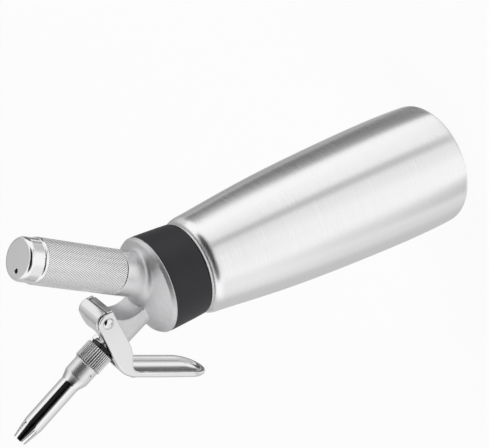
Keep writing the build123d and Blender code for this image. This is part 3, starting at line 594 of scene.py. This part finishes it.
def lever_field(x, y, z):
    """Distance to the lever's surface, negative inside: a channel inside the side outline, open in front
    above the bend, joined to the web and the rolled tongue, less the stem's slot and the tongue's slit."""
    dx, dz = x - pivot[0], z - pivot[2]
    bx, bz = x - bend_centre[0], z - bend_centre[2]
    front, drop = part_along(cheek_front, dx, dz) - eye_radius, part_along(cheek_down, dx, dz)
    plane, down = part_along(web_front, dx, dz) - eye_radius, part_along(web_down, dx, dz)
    along = part_along(handle_along, x - bend_end[0], z - bend_end[2])
    past = part_along(cheek_down, bx, bz)

    # the channel's outer face, and its width with the rounded tip
    handle_face = np.where(along >= 0, part_along(handle_out, bx, bz), np.sqrt(bx * bx + bz * bz))
    outer = np.where(past <= 0, part_along(cheek_front, bx, bz), handle_face) - bend_radius
    half = lever_half + handle_flare * np.clip(along / flare_run, 0, 1)
    end = np.maximum(along - (handle_length - tip_round), 0) / tip_round
    width = (np.sqrt(end * end + (y / half) ** 2) - 1) * half

    # the folds are tight at the cheeks and wide along the handle, whose floor thickens to a spoon at the tip
    spoon = spoon_rise * np.maximum(along - (handle_length - spoon_run), 0) ** 2
    fold = np.clip((past + 9.0) / 12.0, 0, 1)
    fold = 0.5 + 1.65 * fold * fold * (3 - 2 * fold)
    floor_top = outer + lever_wall + floor_crown * y * y + spoon
    hollow = both(floor_top, width + lever_wall, 0.6 + 1.4 * (fold - 0.5))
    channel = both(both(outer, width, fold), -hollow, 0.3)
    mouth = both(width + lever_wall, drop - cheek_length, 0.3)
    cheeks = both(both(channel, -mouth, 0.3), outline_distance(x, z, side_outline) - side_edge, 0.6)

    # the web with its two corner strips, cut by the tongue's slit and the stem's slot
    web_sides = np.maximum(np.maximum(np.abs(y) - inner_half - web_overlap, outer), -down)
    web = both(both(plane, -plane - lever_wall, 0.3), web_sides, 0.1)
    strips = np.maximum(np.abs(np.abs(y) - inner_half + strip_inset) - strip_half,
                        np.maximum(-down, drop - cheek_length))
    web = joined(web, both(both(front, -front - strip_deep, 0.3), np.maximum(strips, outer), 0.3), 0.8)
    from_pin = np.sqrt(dx * dx + dz * dz)
    slit = np.maximum(np.maximum(-y - inner_half, inner_half - slit_width + y), from_pin - slit_reach)
    lift = part_along(nozzle_up, dx, dz)
    slot = np.sqrt(y * y + np.maximum(np.abs(lift - slot_middle) - slot_run, 0) ** 2) - slot_round
    web = both(both(web, -slit, 0.2), -slot, 0.3)

    # the tongue, rolled round the pin
    roll = both(both(from_pin - roll_outer, roll_inner - from_pin, 0.4), np.maximum(-dz, down), 0.3)
    tongue = both(roll, np.maximum(-y - inner_half + slit_width, y - inner_half - web_overlap), 0.3)
    whole = joined(cheeks, np.minimum(web, tongue), 0.6)

    # on its +Y side the front edge slants back to a rounded notch beside the top of the stem's slot
    notch = both(notch_side - y, np.maximum(notch_start - drop, drop - notch_end), 1.0)
    notch = both(notch, -front - notch_deep, 1.0)
    slant = np.maximum(slant_side - y, -(front + slant_rise * np.maximum(drop - slant_start, 0)))
    return both(both(whole, -notch, 0.5), -np.maximum(slant, drop - slant_end), 0.4)


lever_chrome = finish("chromed steel sheet", (0.90, 0.90, 0.905), 1.0, 0.12, grain=500.0, marks=45.0,
                      shade=0.02, rough_marks=0.04, rough_grain=0.02, bump=0.03,
                      satin=(pin_centre, cheek_down, 5.0, 15.0, 0.13))
lever_step = 0.34
points, faces, normals = skin(lever_field, (-79, -13, -37), (3, 13, 43.5), lever_step)
piece("lever_sheet", flange_centre + points, faces, "lever", lever_chrome, ["lever"], normals)


# ---------------------------------------------------------------------------------------------------------
# Hinge pin. A turned steel pin through the lug and both eyes, its two ends riveted to low domes. It stays
# with the head, and the lever turns on it.

pin_steel = finish("riveted pin steel", (0.82, 0.82, 0.83), 1.0, 0.13, grain=600.0, marks=120.0, shade=0.05,
                   rough_marks=0.05, rough_grain=0.03, bump=0.05)
pin_radius, pin_half, dome_radius, dome_height = 2.0, 11.4, 3.45, 1.6
pin_end = pin_half + dome_height
pin_dome = round_edge((0, pin_half), (dome_radius, dome_height), 8, 90, 12)
pin_profile = np.concatenate([[(0, -pin_end)], (pin_dome[::-1] * (1, -1))[1:],
                              [(3.2, -11.35), (pin_radius, -11.35), (pin_radius, 11.35), (3.2, 11.35)],
                              pin_dome[:-1], [(0, pin_end)]])
points, faces = turned(pin_profile, 48, pin_centre, (0, 1, 0), closed=False)
piece("pin_and_domes", points, faces, "head", pin_steel, ["hinge_pin"])


# ---------------------------------------------------------------------------------------------------------
# Nozzle nut. A turned steel nut with a straight knurl of fine V grooves between two bevelled edges, screwed
# on the stem's thread.

nut_foot = flange_centre + nozzle_foot
stem_hole = 3.95
nut_grooves, groove_shape, groove_foot = 40, (0.0, -0.12, -0.5, -0.12), 8.2
# painted shade: the bottoms of the nut's grooves are painted black
nut_steel = finish("knurled nut steel", (0.99, 0.99, 0.99), 1.0, 0.32, grain=900.0, lean=-30.0,
                   stretch=(8, 8, 1), marks=90.0, shade=0.05, rough_marks=0.05, rough_grain=0.03, bump=0.06,
                   groove_shade=(nut_foot, nozzle_axis, groove_foot, 8.6, 1.0))
nut_profile = np.array([(stem_hole, 41.9), (groove_foot, 41.9), (8.45, 42.05), (8.65, 42.35), (8.7, 42.6),
                        (8.7, 52.3), (8.65, 52.5), (8.5, 52.7), (8.35, 52.8), (6.1, 52.8), (6.1, 50.2),
                        (stem_hole, 50.2)])
nut_swell = np.tile(groove_shape, nut_grooves) * np.clip((nut_profile[:, :1] - groove_foot) / 0.5, 0, 1)
points, faces = turned(nut_profile, nut_swell.shape[1], nut_foot, nozzle_axis, swell=nut_swell)
piece("nut_knurled", points, faces, "nozzle", nut_steel, ["nozzle_nut"], sharp=24.0)


# ---------------------------------------------------------------------------------------------------------
# Decorating tip. Drawn and polished steel: a barrel that screws into the nut, a shoulder, a long tube, and a
# crown of four curved prongs. It sits a degree and a half askew in its thread.

tip_lean, tip_clocking, tip_seat, tip_sag = 30 + 1.5, 5.0, 49.5, 0.25
prong_slots, slot_start, slot_half, slot_flare = (0, 90, 180, 270), 100.4, 1.1, 0.02
punch_marks, mark_reach, mark_height, mark_radius = (51, 171, 291), 7.9, 56.9, 1.05
tip_axis = np.array((-np.sin(np.radians(tip_lean)), 0, np.cos(np.radians(tip_lean))))
tip_foot = nozzle_foot + nozzle_axis * tip_seat - tip_axis * tip_seat - nozzle_up * tip_sag
tip_outer = arcs([(0, 47.0), (6.0, 47.0, 0.2), (6.0, 52.9, 0.1), (8.3, 52.9, 0.2), (8.3, 53.6, 0.2),
                  (7.75, 53.7, 0.1), (7.75, 62.4, 2.6), (5.85, 67.6, 2.4), (5.85, 98.0, 12.0),
                  (3.95, 109.9, 0.5), (0, 109.9)])
tip_inner = arcs([(0, 46.0), (5.1, 46.0), (5.1, 62.0, 2.0), (4.95, 68.0, 2.4), (4.95, 98.0, 12.0),
                  (3.1, 111.5), (0, 111.5)])


def tip_field(x, y, z):
    """Distance to the tip's surface in its own frame, the tip's axis along z: the space between an outer and
    an inner profile, less four round-ended slots that open at the mouth and three small punch marks."""
    radius = np.sqrt(x * x + y * y)
    wall = both(outline_distance(radius, z, tip_outer), -outline_distance(radius, z, tip_inner), 0.25)
    cuts, past = np.inf, z - slot_start
    for turn in np.radians(tip_clocking + np.array(prong_slots)):
        across, facing = y * np.cos(turn) - x * np.sin(turn), x * np.cos(turn) + y * np.sin(turn)
        notch = np.sqrt(across ** 2 + np.minimum(past, 0) ** 2) - slot_half - slot_flare * np.maximum(past, 0)
        cuts = np.minimum(cuts, np.maximum(notch, -facing))
    for turn in np.radians(tip_clocking + np.array(punch_marks)):
        mark_x, mark_y = mark_reach * np.cos(turn), mark_reach * np.sin(turn)
        spot = (x - mark_x) ** 2 + (y - mark_y) ** 2 + (z - mark_height) ** 2
        cuts = np.minimum(cuts, np.sqrt(spot) - mark_radius)
    return both(wall, -cuts, 0.25)


tip_steel = finish("polished tip steel", (0.90, 0.90, 0.91), 1.0, 0.11, grain=900.0, lean=-tip_lean,
                   stretch=(20, 20, 1), marks=70.0, shade=0.02, rough_marks=0.02, rough_grain=0.02, bump=0.03,
                   satin=(flange_centre + tip_foot, tip_axis, 62.0, 68.0, 0.30))
tip_step = 0.29
points, faces, normals = skin(tip_field, (-8.6, -8.6, 45.6), (8.6, 8.6, 111), tip_step)
tip_frame = np.stack(axes_of(tip_axis))
piece("tip_crown", flange_centre + tip_foot + points @ tip_frame, faces, "nozzle", tip_steel,
      ["decorating_tip"], normals @ tip_frame)


# ---------------------------------------------------------------------------------------------------------
# Charger holder. A turned aluminium sleeve with a fine diamond knurl of crossed V grooves, screwed on the
# boss, and a smooth stepped cap end with a small vent hole.

holder_aluminium = finish("bright turned aluminium", (0.92, 0.92, 0.925), 1.0, 0.17, grain=900.0, lean=30.0,
                          stretch=(20, 20, 1), marks=80.0, shade=0.02, rough_marks=0.03, rough_grain=0.03,
                          bump=0.05)
# painted shade: the bottoms of the knurl's grooves are painted nearly black
knurl_aluminium = finish("knurled aluminium", (0.99, 0.99, 0.995), 1.0, 0.22, grain=900.0, lean=30.0,
                         marks=80.0, shade=0.02, rough_marks=0.03, rough_grain=0.03, bump=0.05,
                         groove_shade=(holder_foot, charger_axis, 12.83, 12.90, 0.90))
knurl_columns, knurl_rows, knurl_radius, holder_bore = 268, 124, 12.98, 9.7
deep_groove, light_groove = 0.17, 0.07
knurl_foot = [(12.8, 26.05), (12.85, 26.15)]
knurl_run = slice(len(knurl_foot), len(knurl_foot) + knurl_rows)
knurl_heights = np.linspace(26.3, 79.6, knurl_rows)[:, None]
knurl_profile = np.concatenate([knurl_foot, np.insert(knurl_heights, 0, knurl_radius, 1),
                                [(12.0, 79.7), (holder_bore, 79.7), (holder_bore, 34.8), (10.35, 34.8),
                                 (10.35, 26.0), (12.6, 26.0)]])
row, column = np.indices((knurl_rows, knurl_columns))
right_hand, left_hand = ((np.abs((row + way * column) % 4 - 2) / 2) ** 2.5 for way in (1, -1))
knurl_swell = np.zeros((len(knurl_profile), knurl_columns))
knurl_swell[knurl_run] = -np.maximum(deep_groove * right_hand, light_groove * left_hand)
points, faces = turned(knurl_profile, knurl_columns, holder_foot, charger_axis, swell=knurl_swell)

# each face of the knurl is cut in two along the groove that crosses it
face_row, face_column = np.divmod(faces[:, 0], knurl_columns)
in_knurl = (face_row >= knurl_run.start) & (face_row < knurl_run.stop - 1)
even = (face_row + face_column) % 2 == 0
split = [faces[~in_knurl]]
for chosen, cuts in ((even, ([0, 1, 2, 2], [0, 2, 3, 3])), (~even, ([1, 2, 3, 3], [1, 3, 0, 0]))):
    split.extend(faces[chosen & in_knurl][:, cut] for cut in cuts)
piece("holder_knurl", points, np.concatenate(split), "holder", knurl_aluminium,
      ["charger_holder"], sharp=12.0)

cap_outline = np.concatenate([[(0, 79.62), (knurl_radius, 79.62)],
                              round_edge((12.15, 79.9), (0.83, 1.9), 0, 84, 9),
                              round_edge((10.35, 88.1), (1.8, 2.7), 0, 90, 12), [(0, 90.8)]])
cap_hollow = arcs([(0, 77.5), (holder_bore, 77.5), (holder_bore, 87.4, 1.0), (0, 87.4)])
vent_place, vent_radius = (-2.2, 6.3), 1.35


def cap_field(x, y, z):
    """Distance to the cap end's surface in its own frame: the turned cap, less its hollow and vent hole."""
    radius = np.sqrt(x * x + y * y)
    cap = both(outline_distance(radius, z, cap_outline), -outline_distance(radius, z, cap_hollow), 0.1)
    vent = np.sqrt((x - vent_place[0]) ** 2 + (y - vent_place[1]) ** 2) - vent_radius
    return both(cap, -vent, 0.15)


cap_step = 0.34
points, faces, normals = skin(cap_field, (-13.6, -13.6, 77.6), (13.6, 13.6, 91.6), cap_step)
holder_frame = np.stack(axes_of(charger_axis))
piece("holder_cap", holder_foot + points @ holder_frame, faces, "holder",
      holder_aluminium, normals=normals @ holder_frame)


# ---------------------------------------------------------------------------------------------------------
# Lock nut. A thin blackened hexagon nut with bevelled corners, turned tight against the nozzle nut, and the
# bright spacer ring that stands between it and the lever's web. The nut's near-black colour is partly its
# blackened finish and partly painted shade of the dark gap between the nozzle nut and the web.

# near black: partly a blackened finish, partly painted shade of the gap between the nozzle nut and the web
dark_steel = finish("blackened nut steel with painted shade", (0.05, 0.05, 0.055), 1.0, 0.18, grain=900.0, marks=150.0,
                    shade=0.3, bump=0.06)
spacer_steel = finish("turned spacer steel", (0.82, 0.82, 0.83), 1.0, 0.18, grain=900.0, marks=150.0,
                      bump=0.06)
hex_columns, hex_half = 144, 6.3
hex_turn = np.linspace(0, 2 * np.pi, hex_columns, endpoint=False)
hex_reach = hex_half / np.cos(hex_turn % (np.pi / 3) - np.pi / 6)
lock_profile = np.array([(stem_hole, 39.6), (6.1, 39.6), (6.7, 39.85), (7.4, 40.25), (7.4, 41.25),
                         (6.7, 41.6), (6.1, 41.85), (stem_hole, 41.85)])
lock_swell = np.minimum(hex_reach, lock_profile[:, :1]) - lock_profile[:, :1]
points, faces = turned(lock_profile, hex_columns, nut_foot, nozzle_axis, swell=lock_swell)
piece("lock_hexagon", points, faces, "stem", dark_steel, ["lock_nut"], sharp=18.0)
spacer_profile = arcs([(stem_hole, 38.75), (5.4, 38.75, 0.25), (5.4, 39.55, 0.25), (stem_hole, 39.55),
                       (stem_hole, 38.75)])[:-1]
points, faces = turned(spacer_profile, 72, nut_foot, nozzle_axis)
piece("lock_spacer", points, faces, "stem", spacer_steel)


# ---------------------------------------------------------------------------------------------------------
# Valve spring. A coil of round steel wire round the stem, inside the head's arm, between the throat and the
# stem's shoulder.

turned_steel = finish("turned inner steel", (0.7, 0.7, 0.71), 1.0, 0.25, grain=900.0, bump=0.08)
coils, coil_radius, coil_foot, coil_height = 6, 4.4, 8.7, 12.7
wire_radius, wire_sides, turn_steps = 0.45, 12, 32


def coiled():
    """A wire wound on the nozzle's axis: its middle is foot + radius * (cos t, sin t) across the axis +
    height * t / whole turn along it, and the point at angle u round the wire is middle + wire radius *
    (cos u across, sin u along). Both ends close on a pole."""
    across, second, along = axes_of(nozzle_axis)
    turn = np.linspace(0, 2 * np.pi * coils, turn_steps * coils + 1)
    outward = np.cos(turn)[:, None] * across + np.sin(turn)[:, None] * second
    middle = nut_foot + (coil_foot + coil_height * turn / turn[-1])[:, None] * along + coil_radius * outward
    middle, outward = (np.concatenate([values[:1], values, values[-1:]]) for values in (middle, outward))
    thickness = np.full((len(middle), 1, 1), wire_radius)
    thickness[[0, -1]] = 0
    around = np.linspace(0, 2 * np.pi, wire_sides, endpoint=False)[:, None]
    points = middle[:, None] + thickness * (np.cos(around) * outward[:, None] + np.sin(around) * along)
    index = np.arange(len(middle) * wire_sides).reshape(-1, wire_sides)
    index[[0, -1]] = index[[0, -1]][:, :1]
    faces = np.stack([index[1:], np.roll(index[1:], -1, 1), np.roll(index[:-1], -1, 1), index[:-1]], -1)
    faces = faces.reshape(-1, 4)
    return points.reshape(-1, 3), faces[(faces[:, 0] != faces[:, 1]) | (faces[:, 2] != faces[:, 3])]


points, faces = coiled()
spring = piece("spring_coil", points, faces, None, turned_steel, ["valve_spring"], sharp=80.0)
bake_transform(spring)


# ---------------------------------------------------------------------------------------------------------
# Inner pieces and the push collar, which keep their own shapes: turned steel, rubber seals, the plated gas
# charger and the dark collar behind the lever's web.

seal_rubber = finish("seal rubber", (0.045, 0.045, 0.048), 0.0, 0.6, grain=1200.0, shade=0.2, bump=0.2)
plated_steel = finish("plated charger steel", (0.62, 0.62, 0.64), 1.0, 0.3, grain=300.0, marks=30.0, bump=0.1)
material_of = {"seal_rubber": seal_rubber, "bright_steel": turned_steel, "dark_steel": dark_steel,
               "charger_steel": plated_steel, "tip_steel": turned_steel, "head_aluminium": cast_aluminium,
               "holder_aluminium": holder_aluminium, "lever_chrome": lever_chrome,
               "bottle_steel": bottle_steel, "collar_rubber": collar_rubber}
slot_of = {part["node"]: part["material_slot"] for part in frame["record"]["subparts"]}
for name, node in frame["nodes"].items():
    node.data.materials.clear()
    node.data.materials.append(material_of[slot_of[name]])


# ---------------------------------------------------------------------------------------------------------
# Floor, studio and lamp. A white floor and a soft lamp that the metal doesn't mirror, inside a white tent:
# the side where the camera stands is open to a dark room, and the tent's seams and shaded walls give the
# metal soft lines. The camera itself sees the tent plain white.

def shown_to_camera(tree, output, shown, ordinary, share):
    """Ends a node tree in a mix: the camera sees a share of the shown shader and the rest of the ordinary
    one, and all other light meets the ordinary one alone."""
    to_camera = maths(tree, "MULTIPLY", add_node(tree, "LightPath").outputs["Is Camera Ray"], share)
    mix = add_node(tree, "MixShader", {0: to_camera, 1: ordinary, 2: shown})
    tree.links.new(mix.outputs["Shader"], tree.nodes[output].inputs["Surface"])


floor_half = 6      # metres
floor_mesh = bpy.data.meshes.new("floor")
floor_corners = [(x * floor_half, y * floor_half, 0) for x, y in ((-1, -1), (1, -1), (1, 1), (-1, 1))]
floor_mesh.from_pydata(floor_corners, [], [(0, 1, 2, 3)])
floor = bpy.data.objects.new("floor", floor_mesh)
bpy.context.scene.collection.objects.link(floor)
floor.visible_glossy = False
floor_paint = bpy.data.materials.new("white floor")
floor_paint.use_nodes = True
floor_tree = floor_paint.node_tree
paint = floor_tree.nodes["Principled BSDF"]
paint.inputs["Base Color"].default_value = (0.85, 0.85, 0.85, 1)
paint.inputs["Roughness"].default_value = 0.8
glow = add_node(floor_tree, "Emission")
shown_to_camera(floor_tree, "Material Output", glow.outputs["Emission"], paint.outputs["BSDF"], 0.93)
floor_mesh.materials.append(floor_paint)

studio = bpy.data.worlds.new("studio")
bpy.context.scene.world = studio
studio.use_nodes = True
sky = studio.node_tree
sky_place = add_node(sky, "TexCoord").outputs["Generated"]


def towards(turn, rise):
    """The unit vector at a turn from +X about Z and a rise above the level, in degrees."""
    turn, rise = np.radians(turn), np.radians(rise)
    return (np.cos(rise) * np.cos(turn), np.cos(rise) * np.sin(turn), np.sin(rise))


def dimmed(level, turn, rise, inner, outer, amount):
    """The sky's level with one round patch of it dimmed by an amount, in full inside the inner angle and
    fading out smoothly at the outer one. The patch's middle is at a turn and a rise."""
    near = add_node(sky, "VectorMath", {0: sky_place, 1: towards(turn, rise)}, operation="DOT_PRODUCT")
    full, none = np.cos(np.radians((inner, outer)))
    left = add_node(sky, "MapRange", {"Value": near.outputs["Value"], "From Min": full, "From Max": none,
                                      "To Min": 1 - amount, "To Max": 1}, interpolation_type="SMOOTHSTEP")
    return maths(sky, "MULTIPLY", left.outputs["Result"], level)


# the dark room, the seams and the shaded walls, each as (turn, rise, inner angle, outer angle, amount)
sky_level = 1.0
for patch in ((-30, 35, 33, 41, 0.985), (145, -5, 45, 75, 0.44), (58, -31, 15, 21, 0.88),
              (88, -30, 8, 15, 0.40), (93, -44, 5, 9, 0.80), (62, -55, 4, 8, 0.72), (97, 42, 16, 32, 0.38),
              (84, 4, 30, 36, 0.36), (-76, 36, 24, 36, 0.97), (10, -72, 12, 30, 0.42),
              (-125, -44, 8, 16, 0.55), (-132, -22, 12, 24, 0.15), (-146, -38, 5, 16, 0.22),
              (-26, -40, 3, 9, 0.52), (-27, -28, 3, 9, 0.52), (-30, -16, 3, 9, 0.46), (-46, -36, 5, 20, 0.14)):
    sky_level = dimmed(sky_level, *patch)
tent = sky.nodes["Background"]
tent.inputs["Strength"].default_value = 1.0
sky.links.new(sky_level, tent.inputs["Color"])
white = add_node(sky, "Background", {"Color": (1, 1, 1, 1)})
shown_to_camera(sky, "World Output", white.outputs["Background"], tent.outputs["Background"], 1.0)

lamp_place, lamp_aim = Vector((0.75, 0.45, 1.15)), Vector((0, 0, 0.2))
top_light = bpy.data.lights.new("top_lamp", "AREA")
top_light.shape, top_light.size, top_light.energy = "SQUARE", 0.9, 4.0
top_lamp = bpy.data.objects.new("top_lamp", top_light)
lamp_turn = (lamp_aim - lamp_place).to_track_quat("-Z", "Y").to_matrix().to_4x4()
top_lamp.matrix_world = Matrix.Translation(lamp_place) @ lamp_turn
bpy.context.scene.collection.objects.link(top_lamp)
top_lamp.visible_glossy = False

bpy.context.scene.view_settings.view_transform = "Standard"
